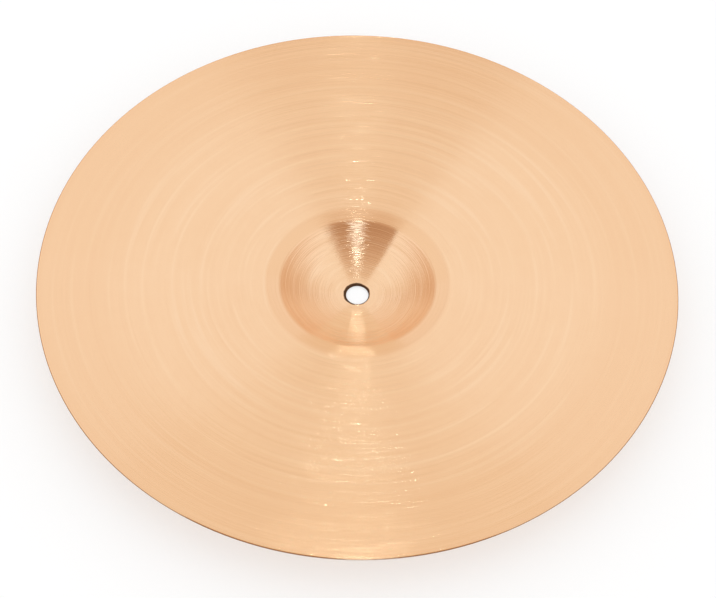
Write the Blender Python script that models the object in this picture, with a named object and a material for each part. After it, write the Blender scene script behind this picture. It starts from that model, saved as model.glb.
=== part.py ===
"""A fourteen-inch hi-hat cymbal, turned from one plate of bronze.

The plate lies bell down with its hollow side up, as the lower cymbal of a pair sits on its stand.
The origin is on the axis, level with the outer face of the bell's crown. Metres, +Z up.
"""

import math

import bmesh
import bpy
from mathutils import Vector

# Outline, seen from above
DIAMETER = 0.3556
BELL_DIAMETER = 0.104
SHOULDER_WIDTH = 0.0082
HOLE_DIAMETER = 0.0127
LIP_REACH = 0.0013
SEAT_WIDTH = 0.0020

# Heights of the plate's middle, each measured from the ring inside it
BELL_DEPTH = 0.0120
SHOULDER_RISE = 0.0015
BOW_DEPTH = 0.0107

# Height over which each bend is softened; its corner moves by a quarter of that
SEAT_BEND = 0.00025
SHOULDER_BEND = 0.0004
BELL_EDGE_BEND = 0.0004

# Thickness of the plate
BELL_GAUGE = 0.0013
RIM_GAUGE = 0.0010

# Fineness of the solid
SEGMENTS = 80
EDGE_STEPS = 4
CHORD_TOLERANCE = 0.00004

# Bronze, as the photograph shows it
BRONZE_COLOUR = (0.94, 0.63, 0.39, 1.0)
BRONZE_ROUGHNESS = 0.35

# Radii that follow from the outline
RIM_CENTRE = (DIAMETER - RIM_GAUGE) / 2
BELL_EDGE = BELL_DIAMETER / 2
SHOULDER = BELL_EDGE - SHOULDER_WIDTH
LIP = HOLE_DIAMETER / 2 + LIP_REACH
SEAT = LIP + SEAT_WIDTH


def clear_scene():
    for obj in list(bpy.data.objects):
        bpy.data.objects.remove(obj, do_unlink=True)


def softened(gap, bend):
    """How far a bend moves the height where its two sides are this far apart."""
    return max(bend - abs(gap), 0.0) ** 2 / (4 * bend)


def upper_of(a, b, bend):
    return max(a, b) + softened(a - b, bend)


def lower_of(a, b, bend):
    return min(a, b) - softened(a - b, bend)


def dished(radius, inner, outer, depth):
    """Height of a shallow dish that rises by depth from the inner radius to the outer one."""
    return depth * (radius**2 - inner**2) / (outer**2 - inner**2)


def bell_foot():
    """Radius where the bell, carried on inwards, would cut the seat: its bend starts at SEAT."""
    share = SEAT_BEND / BELL_DEPTH
    return math.sqrt((SEAT**2 + share * SHOULDER**2) / (1 + share))


def middle_height(radius):
    """Height of the plate's middle: a flat seat, the bell, its shoulder, then the bow."""
    bell = dished(radius, bell_foot(), SHOULDER, BELL_DEPTH)
    shoulder = BELL_DEPTH + SHOULDER_RISE * (radius - SHOULDER) / SHOULDER_WIDTH
    bow = BELL_DEPTH + SHOULDER_RISE + dished(radius, BELL_EDGE, DIAMETER / 2, BOW_DEPTH)
    crown = upper_of(0.0, bell, SEAT_BEND)
    dome = lower_of(crown, shoulder, SHOULDER_BEND)
    return BELL_GAUGE / 2 + lower_of(dome, bow, BELL_EDGE_BEND)


def gauge(radius):
    """Thickness of the plate: even over the bell, then thinning to the rim."""
    share = (radius - BELL_EDGE) / (RIM_CENTRE - BELL_EDGE)
    return BELL_GAUGE + (RIM_GAUGE - BELL_GAUGE) * min(max(share, 0.0), 1.0)


def across(radius):
    """Unit vector square to the plate there, pointing out of its hollow side."""
    step = CHORD_TOLERANCE
    rise = middle_height(radius + step) - middle_height(radius - step)
    return Vector((-rise, 0.0, 2 * step)).normalized()


def stations(start, end):
    """Radii from start up to end, close together only where the plate bends."""
    centre = (start + end) / 2
    chord_height = (middle_height(start) + middle_height(end)) / 2
    if abs(middle_height(centre) - chord_height) > CHORD_TOLERANCE:
        return stations(start, centre) + stations(centre, end)
    return [start]


def on_plate(radius):
    return Vector((radius, 0.0, middle_height(radius)))


def rounded_edge(radius, reach, start_side):
    """Points round an edge that stands out by reach, from one face of the plate to the other."""
    normal = across(radius) * start_side
    outward = Vector((across(radius).z, 0.0, -across(radius).x)) * math.copysign(1.0, reach)
    half = gauge(radius) / 2
    points = []
    for step in range(1, EDGE_STEPS):
        angle = math.pi * step / EDGE_STEPS
        bulge = outward * abs(reach) * math.sin(angle)
        points.append(on_plate(radius) + bulge + normal * half * math.cos(angle))
    return points


def section():
    """The closed outline that the lathe leaves: hollow side, rim, outer side, lip of the hole."""
    bends = [LIP, SEAT, bell_foot(), SHOULDER, BELL_EDGE, RIM_CENTRE]
    radii = [radius for start, end in zip(bends, bends[1:]) for radius in stations(start, end)]
    radii.append(RIM_CENTRE)
    hollow_side = [on_plate(r) + across(r) * gauge(r) / 2 for r in radii]
    outer_side = [on_plate(r) - across(r) * gauge(r) / 2 for r in reversed(radii)]
    rim_edge = rounded_edge(RIM_CENTRE, RIM_GAUGE / 2, 1)
    hole_edge = rounded_edge(LIP, -LIP_REACH, -1)
    return hollow_side + rim_edge + outer_side + hole_edge


def turned_mesh(name, outline):
    """Spins a closed outline in the XZ plane right round the Z axis."""
    turning = bmesh.new()
    ring = [turning.verts.new(point) for point in outline]
    edges = [turning.edges.new(pair) for pair in zip(ring, ring[1:] + ring[:1])]
    bmesh.ops.spin(
        turning,
        geom=ring + edges,
        cent=(0.0, 0.0, 0.0),
        axis=(0.0, 0.0, 1.0),
        angle=math.tau,
        steps=SEGMENTS,
        use_merge=True,
    )
    bmesh.ops.recalc_face_normals(turning, faces=turning.faces)
    mesh = bpy.data.meshes.new(name)
    turning.to_mesh(mesh)
    turning.free()
    mesh.shade_smooth()
    return mesh


def bronze():
    material = bpy.data.materials.new("turned_bronze")
    material.use_nodes = True
    shader = material.node_tree.nodes["Principled BSDF"]
    shader.inputs["Base Color"].default_value = BRONZE_COLOUR
    shader.inputs["Metallic"].default_value = 1.0
    shader.inputs["Roughness"].default_value = BRONZE_ROUGHNESS
    material.diffuse_color = BRONZE_COLOUR
    return material


def make_cymbal():
    mesh = turned_mesh("cymbal", section())
    mesh.materials.append(bronze())
    cymbal = bpy.data.objects.new("cymbal", mesh)
    bpy.context.scene.collection.objects.link(cymbal)
    return cymbal


clear_scene()
make_cymbal()
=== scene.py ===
# %% [markdown]
# # A turned bronze hi-hat cymbal
# A cymbal is one plate of bronze. It is pressed to a shallow bow with a bell in its middle, then
# turned on a lathe, and the tool leaves fine rings all over it. Those rings, more than the metal's
# colour, are what the eye reads as a cymbal: they draw the light out into narrow fans.
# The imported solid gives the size. This script turns the same section again, finer and with its
# rings, finishes it in bronze, and lights it so that the fans show.

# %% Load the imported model
import math

import bmesh
import bpy
from mathutils import Matrix, Vector


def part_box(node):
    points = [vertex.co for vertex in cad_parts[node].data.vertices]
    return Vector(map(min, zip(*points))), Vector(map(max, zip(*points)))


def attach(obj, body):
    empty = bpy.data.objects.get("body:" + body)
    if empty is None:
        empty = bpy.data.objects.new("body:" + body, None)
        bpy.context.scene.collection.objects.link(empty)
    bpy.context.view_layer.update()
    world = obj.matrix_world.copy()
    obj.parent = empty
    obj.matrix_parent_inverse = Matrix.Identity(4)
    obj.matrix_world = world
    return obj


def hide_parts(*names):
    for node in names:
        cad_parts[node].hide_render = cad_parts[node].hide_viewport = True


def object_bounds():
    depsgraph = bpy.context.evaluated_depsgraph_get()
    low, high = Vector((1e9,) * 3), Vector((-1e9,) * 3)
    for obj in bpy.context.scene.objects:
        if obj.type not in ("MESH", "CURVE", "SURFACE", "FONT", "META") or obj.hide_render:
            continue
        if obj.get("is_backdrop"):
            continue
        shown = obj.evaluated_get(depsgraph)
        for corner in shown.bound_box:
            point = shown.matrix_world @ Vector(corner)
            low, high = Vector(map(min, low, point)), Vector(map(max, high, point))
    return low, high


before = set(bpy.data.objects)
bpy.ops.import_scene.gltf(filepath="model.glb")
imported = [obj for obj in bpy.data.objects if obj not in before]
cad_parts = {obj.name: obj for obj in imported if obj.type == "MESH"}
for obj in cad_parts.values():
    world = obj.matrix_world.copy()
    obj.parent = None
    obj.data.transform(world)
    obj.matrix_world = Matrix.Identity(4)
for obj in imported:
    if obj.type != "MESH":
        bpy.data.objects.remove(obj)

mm = 0.001
cad_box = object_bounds()
cad_low, cad_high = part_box("cymbal")
print("packed cymbal, mm:", [round(side / mm, 2) for side in cad_high - cad_low])

# %% [markdown]
# ## The camera
# The photograph looks down into the hollow side from about a metre, with a long lens. The aim,
# elevation and lens below put the rim's ellipse and the hole where the photograph has them.
# The rim's ellipse lies a little tilted there, so the camera rolls by the same small angle.
# A lens shift could move the picture too, but a well aimed camera keeps other views simple.

# %% Camera
DISTANCE = 0.950
ELEVATION = math.radians(55.20)
ROLL = math.radians(1.81)
LENS = 86.84
SENSOR = 36.0
RIM_GAUGE = 1.0 * mm
RIM_HEIGHT = cad_high.z - RIM_GAUGE / 2
AIM = Vector((0.48 * mm, -19.49 * mm, RIM_HEIGHT))

towards_camera = Vector((0.0, -math.cos(ELEVATION), math.sin(ELEVATION)))
camera_data = bpy.data.cameras.new("camera")
camera_data.lens = LENS
camera_data.sensor_width = SENSOR
camera = bpy.data.objects.new("camera", camera_data)
bpy.context.scene.collection.objects.link(camera)
aimed = towards_camera.to_track_quat("Z", "Y").to_matrix().to_4x4()
place = Matrix.Translation(AIM + DISTANCE * towards_camera)
camera.matrix_world = place @ aimed @ Matrix.Rotation(ROLL, 4, "Z")
bpy.context.scene.camera = camera
bpy.context.scene.view_settings.view_transform = "Standard"
print("camera at, m:", [round(value, 3) for value in place.translation])

# %% [markdown]
# ## Shader maths that reads like maths
# A material is a graph of nodes, and a long graph is hard to follow as code. `Graph` makes every
# node through one method. `Wire` wraps one output of a node, and its operators add Math nodes, so
# that a ring round the hole can be written as a formula of the radius. The same graph could be
# drawn by hand in the shader editor, but formulas are shorter to read and to change.

# %% A graph of nodes
class Graph:
    """One node tree, filled by calls."""

    def __init__(self, tree):
        self.tree = tree
        self.tree.nodes.clear()

    def node(self, kind, settings=None, values=None, output=0):
        """Adds a node, sets it up, feeds its sockets and returns one of its outputs."""
        made = self.tree.nodes.new(kind)
        for name, value in (settings or {}).items():
            if name == "stops":
                self.set_stops(made.color_ramp, value)
            else:
                setattr(made, name, value)
        for name, value in (values or {}).items():
            if isinstance(value, Wire):
                self.tree.links.new(value.socket, made.inputs[name])
            else:
                made.inputs[name].default_value = value
        return Wire(self, made.outputs[output]) if made.outputs else None

    def set_stops(self, ramp, stops):
        """Fills a colour ramp from pairs of a place and a colour."""
        for spot, colour in stops[1:-1]:
            ramp.elements.new(spot)
        for element, (spot, colour) in zip(ramp.elements, stops):
            element.position = spot
            element.color = (*colour, 1.0)

    def mixed(self, share, first, second):
        """A colour between two others."""
        values = {"Factor": share, 6: first, 7: second}
        return self.node("ShaderNodeMix", {"data_type": "RGBA"}, values, output=2)


print("Graph can make nodes, fill ramps and mix colours")

# %% Formulas of a node's output
class Wire:
    """One output of a node, with the operators of a number."""

    def __init__(self, graph, socket):
        self.graph = graph
        self.socket = socket

    def other(self, name):
        """Another output of the same node."""
        return Wire(self.graph, self.socket.node.outputs[name])

    def math(self, operation, *operands):
        """Adds a Math node fed by these wires or numbers."""
        values = dict(enumerate(operands))
        return self.graph.node("ShaderNodeMath", {"operation": operation}, values)

    def __add__(self, other):
        return self.math("ADD", self, other)

    def __radd__(self, other):
        return self.math("ADD", other, self)

    def __sub__(self, other):
        return self.math("SUBTRACT", self, other)

    def __rsub__(self, other):
        return self.math("SUBTRACT", other, self)

    def __mul__(self, other):
        return self.math("MULTIPLY", self, other)

    def __rmul__(self, other):
        return self.math("MULTIPLY", other, self)

    def __truediv__(self, other):
        return self.math("DIVIDE", self, other)

    def __pow__(self, other):
        return self.math("POWER", self, other)

    def __abs__(self):
        return self.math("ABSOLUTE", self)

    def rises(self, low, high):
        """0 below low, 1 above high, and an even curve between them."""
        settings = {"interpolation_type": "SMOOTHSTEP"}
        values = {"Value": self, "From Min": low, "From Max": high}
        return self.graph.node("ShaderNodeMapRange", settings, values)

    def ring(self, middle, half_width, softness):
        """1 within half_width of the middle, fading to 0 over the softness."""
        return 1 - abs(self - middle).rises(half_width, half_width + softness)


print("Wire can do sums, and has rises and rings")

# %% [markdown]
# ## The studio
# Turned metal shows its lights more than its colour. Every ring is a tiny round ridge, so light
# that comes from one side leaves in a fan square to the ring, and what a spot on the plate shows
# depends on its angle round the axis. Two wide white panels, left and right, give the broad pale
# fields. The darker gap between them gives the two dark fans, and a narrow strip of light in the
# middle of the gap gives the pale wedge in the bell.
# Area lamps could do this, but a painted sky of soft panels is even and makes no speckle. The gap
# is measured from the direction halfway between light and camera, because that is the slope of
# the ridge that joins them, so its edges fall along straight spokes of the plate.

# %% Gap between the panels
RIGHT_EDGE = 0.577
LEFT_EDGE = -0.466
RIGHT_BLUR = 0.02
LEFT_BLUR = 0.03
NEAR_SPREAD = 0.06


def gap_mask(spoke, near):
    """1 in the gap between the panels, which is wider as the near half of the plate sees it."""
    right = spoke - near * NEAR_SPREAD
    left = spoke + near * NEAR_SPREAD
    within_right = 1 - right.rises(RIGHT_EDGE, RIGHT_EDGE + RIGHT_BLUR)
    within_left = left.rises(LEFT_EDGE - LEFT_BLUR, LEFT_EDGE + LEFT_BLUR)
    return within_right * within_left


for side, edge in (("right", RIGHT_EDGE), ("left", LEFT_EDGE)):
    print(side, "edge of the fans, degrees:", round(math.degrees(math.atan2(1, edge))))

# %% Colours of the panels
WHITE = (1.0, 1.0, 1.0, 1.0)
NEAR_PANEL = (1.02, 1.04, 1.08, 1.0)
HIGH_PANEL = (1.08, 1.12, 1.20, 1.0)
HIGH_PANEL_SIDE = (0.40, 0.58)
HIGH_PANEL_HEIGHT = (0.66, 0.80)
LOW_PANEL = (0.78, 0.58, 0.44, 1.0)
NEAR_LOW_PANEL = (0.90, 0.74, 0.62, 1.0)
NEAR_LOW_REACH = (0.60, 0.85)
LOW_PANEL_TOP = (0.32, 0.52)
LOW_PANEL_SLANT = 0.45


def panel_colour(graph, near, x, y, z):
    """White panels, brighter and cooler high up at the sides, darker and warm near the floor."""
    colour = graph.mixed(near, WHITE, NEAR_PANEL)
    high_side = abs(x).rises(*HIGH_PANEL_SIDE) * z.rises(*HIGH_PANEL_HEIGHT)
    colour = graph.mixed(high_side, colour, HIGH_PANEL)
    low_colour = graph.mixed(y.rises(*NEAR_LOW_REACH), LOW_PANEL, NEAR_LOW_PANEL)
    above_low = (z - LOW_PANEL_SLANT * abs(x)).rises(*LOW_PANEL_TOP)
    return graph.mixed(above_low, low_colour, colour)


print("green of the low panels against white, %:", round(100 * LOW_PANEL[1] / WHITE[1]))

# %% Colours of the gap and of the strip in it
GAP_STOPS = [
    (0.00, (0.93, 0.84, 0.74)),
    (0.16, (0.91, 0.83, 0.74)),
    (0.33, (0.92, 0.85, 0.77)),
    (0.44, (0.90, 0.82, 0.74)),
    (0.51, (0.80, 0.67, 0.56)),
    (0.67, (0.72, 0.57, 0.46)),
    (0.78, (0.58, 0.41, 0.31)),
    (0.90, (0.50, 0.33, 0.23)),
    (1.00, (0.48, 0.31, 0.21)),
]
STRIP_STOPS = [
    (0.00, (1.00, 0.98, 0.95)),
    (0.42, (1.00, 0.98, 0.95)),
    (0.58, (1.20, 1.40, 1.65)),
    (1.00, (1.90, 2.30, 2.80)),
]
TIP_RANGE = 1.5


def from_far_horizon(y, z):
    """0 at the far horizon, two thirds straight up, and 1 thirty degrees nearer the camera."""
    tip = y / (y * y + z * z) ** 0.5
    return (1 - tip) / TIP_RANGE


print("the gap darkens over", len(GAP_STOPS), "stops, and its strip has", len(STRIP_STOPS))

# %% Paint the sky
NEAR_BLUR = 0.02
STRIP_MIDDLE = -0.030
STRIP_HALF = 0.036
STRIP_BLUR = 0.006


def sky_colour(graph):
    """What the cymbal sees in each direction."""
    direction = graph.node("ShaderNodeTexCoord")
    x = graph.node("ShaderNodeSeparateXYZ", None, {0: direction})
    y = x.other("Y")
    z = x.other("Z")
    halfway_y = y + towards_camera.y
    spoke = x / halfway_y
    near = halfway_y.rises(-NEAR_BLUR, NEAR_BLUR)
    height = from_far_horizon(y, z)
    in_gap = graph.node("ShaderNodeValToRGB", {"stops": GAP_STOPS}, {"Fac": height})
    in_strip = graph.node("ShaderNodeValToRGB", {"stops": STRIP_STOPS}, {"Fac": height})
    sky = graph.mixed(gap_mask(spoke, near), panel_colour(graph, near, x, y, z), in_gap)
    return graph.mixed(spoke.ring(STRIP_MIDDLE, STRIP_HALF, STRIP_BLUR), sky, in_strip)


def make_studio():
    """The camera and the paint of the floor see plain white, and the bronze sees the sky."""
    world = bpy.data.worlds.new("studio")
    bpy.context.scene.world = world
    world.use_nodes = True
    graph = Graph(world.node_tree)
    path = graph.node("ShaderNodeLightPath")
    plain = path.math("MAXIMUM", path, path.other("Is Diffuse Ray"))
    seen = graph.mixed(plain, sky_colour(graph), WHITE)
    background = graph.node("ShaderNodeBackground", None, {"Color": seen, "Strength": 1.0})
    graph.node("ShaderNodeOutputWorld", None, {"Surface": background})
    return world


studio = make_studio()
print("nodes of the sky:", len(studio.node_tree.nodes))

# %% [markdown]
# ## The bright line
# A small lamp shows on turned metal as one thin bright spoke: only where the rings run square to
# the plane of lamp and camera can some ridge pass its light on. The spoke's width follows from the
# lamp's size, and its place from how far the lamp stands to the side. A low lamp beyond the cymbal
# draws the line through the near half, and one overhead draws it through the bell and the far
# half. The strip in the sky is too near to what the bow mirrors to leave a thin line there.
# They are weak suns, because a sun has a size in the sky and gives the same line everywhere.

# %% Lamps for the bright line
COOL_WHITE = (0.72, 0.92, 1.0)
BEYOND = (-0.0057, 0.88, 0.475)
BEYOND_WIDTH = 0.80
BEYOND_STRENGTH = 0.026
OVERHEAD = (0.016, 0.0, 1.0)
OVERHEAD_WIDTH = 2.2
OVERHEAD_STRENGTH = 0.024


def add_lamp(name, towards, width, strength):
    """A distant lamp: the direction to it, its width in the sky in degrees, and its strength."""
    lamp_data = bpy.data.lights.new(name, "SUN")
    lamp_data.energy = strength
    lamp_data.angle = math.radians(width)
    lamp_data.color = COOL_WHITE
    lamp = bpy.data.objects.new(name, lamp_data)
    lamp.rotation_euler = Vector(towards).to_track_quat("Z", "Y").to_euler()
    bpy.context.scene.collection.objects.link(lamp)


add_lamp("lamp_beyond", BEYOND, BEYOND_WIDTH, BEYOND_STRENGTH)
add_lamp("lamp_overhead", OVERHEAD, OVERHEAD_WIDTH, OVERHEAD_STRENGTH)
print("lamps:", len(bpy.data.lights))

# %% [markdown]
# ## The floor
# The cymbal lies on a plain pale sheet. Half of its white is paint, which takes the shadow, and
# the other half is a faint glow that only the camera and reflections see. A brighter lamp could
# whiten the sheet too, but more light would then fall on the bronze.

# %% Floor
FLOOR_SIZE = 30.0
FLOOR_PAINT = (0.50, 0.50, 0.50, 1.0)
FLOOR_GLOW = 0.512


def pale_floor():
    material = bpy.data.materials.new("pale_floor")
    material.use_nodes = True
    graph = Graph(material.node_tree)
    path = graph.node("ShaderNodeLightPath")
    seen = path.math("MAXIMUM", path, path.other("Is Glossy Ray"))
    seen = path.math("MAXIMUM", seen, path.other("Is Transmission Ray"))
    paint = graph.node("ShaderNodeBsdfDiffuse", None, {"Color": FLOOR_PAINT})
    glow = graph.node("ShaderNodeEmission", None, {"Color": WHITE, "Strength": FLOOR_GLOW * seen})
    both = graph.node("ShaderNodeAddShader", None, {0: paint, 1: glow})
    graph.node("ShaderNodeOutputMaterial", None, {"Surface": both})
    return material


def make_floor():
    mesh = bpy.data.meshes.new("floor")
    sheet = bmesh.new()
    bmesh.ops.create_grid(sheet, x_segments=1, y_segments=1, size=FLOOR_SIZE / 2)
    sheet.to_mesh(mesh)
    sheet.free()
    mesh.materials.append(pale_floor())
    floor = bpy.data.objects.new("floor", mesh)
    bpy.context.scene.collection.objects.link(floor)
    return floor


floor = make_floor()
floor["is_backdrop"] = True
print("floor, m:", [round(side, 1) for side in floor.dimensions[:2]])

# %% [markdown]
# ## The plate's section
# Cut through the axis, the plate is one thin line: a flat seat round the hole, the curve of the
# bell, a narrow shoulder, then the long shallow bow, which thins towards the rim. A curve drawn by
# hand could give that line. Formulas do it here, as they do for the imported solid, so that the two
# lie on each other and each size stays a value with a name.

# %% Sizes of the plate
RIM = 177.8 * mm
BELL_EDGE = 52.0 * mm
SHOULDER = 43.8 * mm
SEAT = 9.65 * mm
LIP = 7.65 * mm
LIP_REACH = 1.3 * mm
BELL_DEPTH = 12.0 * mm
SHOULDER_RISE = 1.5 * mm
BOW_DEPTH = 10.7 * mm
SEAT_BEND = 0.25 * mm
CORNER_BEND = 0.4 * mm
BELL_GAUGE = 1.3 * mm
RIM_CENTRE = RIM - RIM_GAUGE / 2
print("rim radius here and in the packed solid, mm:", RIM / mm, round(cad_high.x / mm, 2))

# %% Curves and bends
def softened(gap, bend):
    """How far a bend moves the height where its two sides are this far apart."""
    return max(bend - abs(gap), 0.0) ** 2 / (4 * bend)


def upper_of(a, b, bend):
    return max(a, b) + softened(a - b, bend)


def lower_of(a, b, bend):
    return min(a, b) - softened(a - b, bend)


def dished(radius, inner, outer, depth):
    """Height of a shallow dish that rises by depth from the inner radius to the outer one."""
    return depth * (radius**2 - inner**2) / (outer**2 - inner**2)


def bell_foot():
    """Radius where the bell, carried on inwards, would cut the seat."""
    share = SEAT_BEND / BELL_DEPTH
    return math.sqrt((SEAT**2 + share * SHOULDER**2) / (1 + share))


print("the bell starts at a radius of, mm:", round(bell_foot() / mm, 3))

# %% Section of the plain plate
SLOPE_STEP = 0.04 * mm


def plate_height(radius):
    """Height of the plate's middle: seat, bell, shoulder, bow."""
    bell = dished(radius, bell_foot(), SHOULDER, BELL_DEPTH)
    shoulder = BELL_DEPTH + SHOULDER_RISE * (radius - SHOULDER) / (BELL_EDGE - SHOULDER)
    bow = BELL_DEPTH + SHOULDER_RISE + dished(radius, BELL_EDGE, RIM, BOW_DEPTH)
    crown = upper_of(0.0, bell, SEAT_BEND)
    dome = lower_of(crown, shoulder, CORNER_BEND)
    return BELL_GAUGE / 2 + lower_of(dome, bow, CORNER_BEND)


def gauge(radius):
    """Thickness of the plate: even over the bell, then thinning to the rim."""
    share = (radius - BELL_EDGE) / (RIM_CENTRE - BELL_EDGE)
    return BELL_GAUGE + (RIM_GAUGE - BELL_GAUGE) * min(max(share, 0.0), 1.0)


def across(radius):
    """Unit vector square to the plate there, pointing out of its hollow side."""
    rise = plate_height(radius + SLOPE_STEP) - plate_height(radius - SLOPE_STEP)
    return Vector((-rise, 0.0, 2 * SLOPE_STEP)).normalized()


def on_plate(radius):
    return Vector((radius, 0.0, plate_height(radius)))


print("rim height, mm:", round(plate_height(RIM) / mm, 2))

# %% [markdown]
# ## Tool rings
# The turner moves the tool outwards by hand, so the rings are even neither in pitch nor in depth:
# they come in bands, with calm stretches between. A sum of a few waves of unlike pitch does that.
# They are real geometry, a few hundredths of a millimetre deep, and so they show at grazing
# angles. A displacement map would need a much finer mesh.

# %% How hard the tool bit
# Bands of strong rings: radius of the middle, half of the width, strength
RING_BANDS = [
    (68 * mm, 22 * mm, 0.7),
    (128 * mm, 22 * mm, 1.0),
    (168 * mm, 8 * mm, 0.7),
]
CALM_MIDDLE = 99 * mm
CALM_HALF = 4 * mm
CALM_SHARE = 0.8
INNER_FADE = 3 * mm
OUTER_FADE = 4 * mm


def swell(radius, middle, half_width):
    """1 at the middle of a band of rings, falling away smoothly to both sides."""
    return math.exp(-(((radius - middle) / half_width) ** 2))


def ring_strength(radius):
    """How hard the tool bit: strong bands with a calm stretch, and nothing at bell and rim."""
    bands = sum(swell(radius, middle, half) * share for middle, half, share in RING_BANDS)
    calm = 1 - swell(radius, CALM_MIDDLE, CALM_HALF) * CALM_SHARE
    start = min(max((radius - BELL_EDGE) / INNER_FADE, 0.0), 1.0)
    end = min(max((RIM - radius) / OUTER_FADE, 0.0), 1.0)
    return bands * calm * start * end


print("strength of each band:", [round(ring_strength(band[0]), 2) for band in RING_BANDS])

# %% The rings themselves
RING_PITCHES = [5.3 * mm, 3.7 * mm, 2.6 * mm]
RING_DEPTH = 0.026 * mm
WANDER = 2.1
WANDER_LENGTH = 2.3


def wave(radius, pitch):
    """A wave along the radius, between -1 and 1, that slips out of step and back again."""
    slip = WANDER * math.sin(radius / (pitch * WANDER_LENGTH))
    return math.sin(math.tau * radius / pitch + slip)


def tool_rings(radius):
    """Height of the turned face over the plain one, never above zero, since a tool only cuts."""
    waves = sum(wave(radius, pitch) for pitch in RING_PITCHES)
    return RING_DEPTH * ring_strength(radius) * (waves / len(RING_PITCHES) - 1)


print("rings are cut up to, mm:", round(2 * RING_DEPTH / mm, 3))

# %% [markdown]
# ## Turning the plate
# A lathe makes this shape by spinning it past a tool, and so does Blender's spin: one closed
# outline, turned right round the axis and merged where it meets itself. A Screw modifier could do
# it too, but the operator leaves a finished mesh with nothing to evaluate. The outline runs up
# the hollow side, round the rim, back down the outer side and round the lip of the hole.

# %% Where the points lie
LIP_PITCH = 0.5 * mm
SEAT_PITCH = 0.25 * mm
BELL_PITCH = 1.0 * mm
SHOULDER_PITCH = 0.3 * mm
HOLLOW_PITCH = 0.46 * mm
OUTER_PITCH = 1.5 * mm
BEND_REACH = 2 * mm


def stations(start, end, pitch):
    """Radii from start up to end, evenly spaced, without the last one."""
    steps = max(1, round((end - start) / pitch))
    return [start + (end - start) * step / steps for step in range(steps)]


def plate_radii(bow_pitch):
    """Radii of the points along one face, close together at the bends."""
    radii = stations(LIP, SEAT, LIP_PITCH) + stations(SEAT, SEAT + BEND_REACH, SEAT_PITCH)
    radii += stations(SEAT + BEND_REACH, SHOULDER - BEND_REACH, BELL_PITCH)
    radii += stations(SHOULDER - BEND_REACH, BELL_EDGE + BEND_REACH, SHOULDER_PITCH)
    return radii + stations(BELL_EDGE + BEND_REACH, RIM_CENTRE, bow_pitch) + [RIM_CENTRE]


print("points along the hollow side:", len(plate_radii(HOLLOW_PITCH)))

# %% Outline
EDGE_STEPS = 12


def rounded_edge(radius, reach, start_side):
    """Points round an edge that stands out by reach, from one face of the plate to the other."""
    normal = across(radius) * start_side
    outward = Vector((across(radius).z, 0.0, -across(radius).x)) * math.copysign(1.0, reach)
    half = gauge(radius) / 2
    points = []
    for step in range(1, EDGE_STEPS):
        angle = math.pi * step / EDGE_STEPS
        bulge = outward * abs(reach) * math.sin(angle)
        points.append(on_plate(radius) + bulge + normal * half * math.cos(angle))
    return points


def face(radii, side):
    """Points along one face of the plate, with its rings."""
    return [on_plate(r) + side * across(r) * (gauge(r) / 2 + tool_rings(r)) for r in radii]


def section():
    """The closed outline that the lathe leaves."""
    hollow_side = face(plate_radii(HOLLOW_PITCH), 1)
    outer_side = face(reversed(plate_radii(OUTER_PITCH)), -1)
    rim_edge = rounded_edge(RIM_CENTRE, RIM_GAUGE / 2, 1)
    hole_edge = rounded_edge(LIP, -LIP_REACH, -1)
    return hollow_side + rim_edge + outer_side + hole_edge


outline = section()
print("outline points:", len(outline))

# %% Turn it on the lathe
SEGMENTS = 176


def turned(name, outline):
    """Spins a closed outline in the XZ plane right round the Z axis."""
    turning = bmesh.new()
    loop = [turning.verts.new(point) for point in outline]
    edges = [turning.edges.new(pair) for pair in zip(loop, loop[1:] + loop[:1])]
    bmesh.ops.spin(
        turning,
        geom=loop + edges,
        cent=(0.0, 0.0, 0.0),
        axis=(0.0, 0.0, 1.0),
        angle=math.tau,
        steps=SEGMENTS,
        use_merge=True,
    )
    bmesh.ops.recalc_face_normals(turning, faces=turning.faces)
    mesh = bpy.data.meshes.new(name)
    turning.to_mesh(mesh)
    turning.free()
    mesh.shade_smooth()
    return mesh


plate_mesh = turned("turned_cymbal", outline)
turned_cymbal = bpy.data.objects.new("turned_cymbal", plate_mesh)
bpy.context.scene.collection.objects.link(turned_cymbal)
print("triangles:", 2 * len(plate_mesh.polygons))

# %% [markdown]
# ## The bronze
# Cymbal bronze is copper with a fifth of tin: a pale, warm, slightly pink gold. Several things lie
# over that plain colour. Fine tool rings, too close to model, tilt the light across the turning,
# so they are a bump that depends only on the radius. Broader rings are a little redder or paler
# where the tool bit harder, and they fade in and out round the plate. The lip of the hole is
# painted dark brown. The rim's edge is painted a deep brown as a painted shadow, and the shoulder
# round the bell is tinted darker and redder as painted shade.
# A painted picture could hold all this, but noise and formulas of the radius stay sharp close up.
# The shader's anisotropy stretches each highlight across the rings, as the real ridges do.

# %% A spot on the plate
class Spot:
    """Where on the plate a material is: its place, its distance from the axis and its x and y."""

    def __init__(self, graph):
        self.graph = graph
        self.place = graph.node("ShaderNodeTexCoord", output="Object")
        self.x = graph.node("ShaderNodeSeparateXYZ", None, {0: self.place})
        self.y = self.x.other("Y")
        self.radius = (self.x * self.x + self.y * self.y) ** 0.5

    def noise(self, size):
        """Soft noise round a half, with spots of about this size."""
        return self.texture("3D", {"Vector": self.place, "Scale": 1 / size, "Detail": 2.0})

    def ring_noise(self, pitch, patches):
        """Noise drawn out into rings: quick to change outwards, and slow round the plate."""
        values = {
            0: self.x / self.radius * patches,
            1: self.y / self.radius * patches,
            2: self.radius / pitch,
        }
        point = self.graph.node("ShaderNodeCombineXYZ", None, values)
        return self.texture("3D", {"Vector": point, "Scale": 1.0, "Detail": 2.0})

    def even_rings(self, pitch):
        """Noise that depends only on the radius, so each ring is the same all the way round."""
        return self.texture("1D", {"W": self.radius, "Scale": 1 / pitch, "Detail": 1.0})

    def texture(self, dimensions, values):
        return self.graph.node("ShaderNodeTexNoise", {"noise_dimensions": dimensions}, values)


print("Spot can give soft noise, ring noise and even rings")

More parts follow.
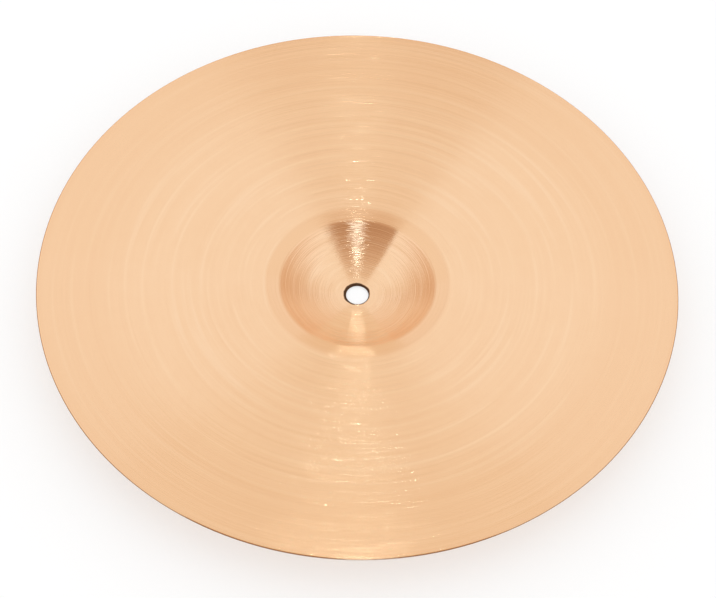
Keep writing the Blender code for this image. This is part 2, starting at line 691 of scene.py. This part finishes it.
# %% Redder and paler rings
BRONZE = (0.94, 0.63, 0.39, 1.0)
# the warm bronze gives the redder rings, and also the painted shade of the shoulder
WARM_BRONZE_AND_SHADE = (0.90, 0.57, 0.335, 1.0)
PALE_BRONZE = (0.955, 0.665, 0.43, 1.0)
RING_PITCH = 3.2 * mm
CLOUD_PITCH = 14 * mm
CLOUD_PATCHES = 2
MOTTLE_SIZE = 9 * mm
RED_RINGS = (0.35, 0.75)
RED_CLOUDS = (0.3, 0.8)
RING_SHARE = 0.35
CLOUD_SHARE = 0.35
MOTTLE_SHARE = 0.3
WARMTH = 0.45
PALE_RINGS = (0.52, 0.72)
PALENESS = 0.6


def ringed_bronze(spot):
    """The plain metal, redder in some rings and patches and paler in other rings."""
    rings = spot.ring_noise(RING_PITCH, 1)
    clouds = spot.ring_noise(CLOUD_PITCH, CLOUD_PATCHES)
    mottle = spot.noise(MOTTLE_SIZE)
    warmth = rings.rises(*RED_RINGS) * RING_SHARE + clouds.rises(*RED_CLOUDS) * CLOUD_SHARE
    warmth = warmth + mottle.rises(*RED_CLOUDS) * MOTTLE_SHARE
    colour = spot.graph.mixed(warmth * WARMTH, BRONZE, WARM_BRONZE_AND_SHADE)
    paler = (1 - rings).rises(*PALE_RINGS)
    return spot.graph.mixed(paler * PALENESS, colour, PALE_BRONZE)


print("bronze, red to green to blue:", BRONZE[:3])

# %% Zones with a tint, and painted shade on the shoulder and the rim
RIM_SHADOW_BROWN = (0.36, 0.22, 0.12, 1.0)
SHOULDER_SHADE_START = (SHOULDER - 1.8 * mm, SHOULDER + 0.2 * mm)
SHOULDER_SHADE_END = (BELL_EDGE - 1.5 * mm, BELL_EDGE + 1.0 * mm)
SHOULDER_SHADE = 0.9
OUTER_BOW = (122 * mm, 150 * mm)
OUTER_TINT = 0.5
EDGE_BAND = (RIM - 4.3 * mm, RIM - 1.3 * mm)
EDGE_TINT = 0.5
RIM_SHADOW_BAND = (RIM - 0.45 * mm, RIM - 0.2 * mm)
RIM_SHADOW_SHARE = 0.8
SEAT_RING = (9.6 * mm, 0.1 * mm, 0.4 * mm)
SEAT_TINT = 0.25
CROWN_RING = (13.8 * mm, 0.5 * mm, 0.7 * mm)
CROWN_TINT = 0.2


def with_zones(spot, colour):
    """The colour with its zones: painted shade on the shoulder, outer bow, edge, painted shadow on
    the rim, and two rings round the hole.
    """
    radius = spot.radius
    mixed = spot.graph.mixed
    # painted shade: the shoulder between bell and bow is tinted darker and redder, standing in for
    # the shade it catches
    shoulder = radius.rises(*SHOULDER_SHADE_START) * (1 - radius.rises(*SHOULDER_SHADE_END))
    colour = mixed(shoulder * SHOULDER_SHADE, colour, WARM_BRONZE_AND_SHADE)
    colour = mixed(radius.rises(*OUTER_BOW) * OUTER_TINT, colour, WARM_BRONZE_AND_SHADE)
    colour = mixed(radius.rises(*EDGE_BAND) * EDGE_TINT, colour, WARM_BRONZE_AND_SHADE)
    # painted shadow: the rim's edge is painted deep brown, standing in for the shadow on its thin
    # edge
    colour = mixed(radius.rises(*RIM_SHADOW_BAND) * RIM_SHADOW_SHARE, colour, RIM_SHADOW_BROWN)
    hole_rings = radius.ring(*SEAT_RING) * SEAT_TINT + radius.ring(*CROWN_RING) * CROWN_TINT
    return mixed(hole_rings, colour, WARM_BRONZE_AND_SHADE)


print("width of the brown at the rim, mm:", round((RIM - RIM_SHADOW_BAND[0]) / mm, 2))

# %% The punched lip of the hole
# the lip round the hole is painted dark brown and made rougher
DARK_LIP_COLOUR = (0.075, 0.032, 0.014, 1.0)
DARK_LIP_EDGE = (LIP - 0.4 * mm, LIP + 0.2 * mm)
DARK_LIP_SHARE = 0.93
DARK_LIP_ROUGHNESS = 0.35
RAGGED_SIZE = 2.2 * mm
RAGGED_REACH = 1.1 * mm
NOISE_MIDDLE = 0.5
LOPSIDED = 0.045


def lip_mask(spot):
    """1 on the dark lip: its edge is ragged, and it reaches farther out on the far left side."""
    ragged = (spot.noise(RAGGED_SIZE) - NOISE_MIDDLE) * RAGGED_REACH
    lopsided = (spot.x - spot.y) * LOPSIDED
    return 1 - (spot.radius + ragged + lopsided).rises(*DARK_LIP_EDGE)


print("the dark skin ends round a radius of, mm:", round(sum(DARK_LIP_EDGE) / 2 / mm, 2))

# %% Bronze
GLOSS = 0.12
STRETCH = 1.0
QUARTER_TURN = 0.25
FINE_PITCH = 0.45 * mm
FINE_DEPTH = 0.095 * mm


def make_bronze():
    material = bpy.data.materials.new("turned_bronze")
    material.use_nodes = True
    graph = Graph(material.node_tree)
    spot = Spot(graph)
    lip = lip_mask(spot)
    colour = with_zones(spot, ringed_bronze(spot))
    fine_rings = {"Height": spot.even_rings(FINE_PITCH), "Distance": FINE_DEPTH, "Strength": 1.0}
    turning = {"direction_type": "RADIAL", "axis": "Z"}
    values = {
        "Base Color": graph.mixed(lip * DARK_LIP_SHARE, colour, DARK_LIP_COLOUR),
        "Metallic": 1.0,
        "Roughness": GLOSS + lip * DARK_LIP_ROUGHNESS,
        "Anisotropic": STRETCH,
        "Anisotropic Rotation": QUARTER_TURN,
        "Normal": graph.node("ShaderNodeBump", None, fine_rings),
        "Tangent": graph.node("ShaderNodeTangent", turning),
    }
    shader = graph.node("ShaderNodeBsdfPrincipled", None, values)
    graph.node("ShaderNodeOutputMaterial", None, {"Surface": shader})
    return material


bronze = make_bronze()
plate_mesh.materials.append(bronze)
print("nodes of the bronze:", len(bronze.node_tree.nodes))

# %% [markdown]
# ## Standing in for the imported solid
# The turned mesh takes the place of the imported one, which stays behind for the physics. It could
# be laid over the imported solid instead, but two equal skins would flicker where they meet. A plate
# without joints has nothing to follow, so it rides on the only body there is.

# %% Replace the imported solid
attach(turned_cymbal, "root")
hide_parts("cymbal")
print(turned_cymbal.name, "stands in for the packed cymbal")

# %% [markdown]
# ## Size
# The boxes of the imported solid and of the finished mesh are both printed. The finished mesh
# must fill the imported solid's box and no more.

# %% Print the sizes
looks_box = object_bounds()
sizes = {"cad": [list(c) for c in cad_box], "looks": [list(c) for c in looks_box]}
for name, corners in sizes.items():
    print(name, "box, mm:", [[round(v / mm, 3) for v in corner] for corner in corners])
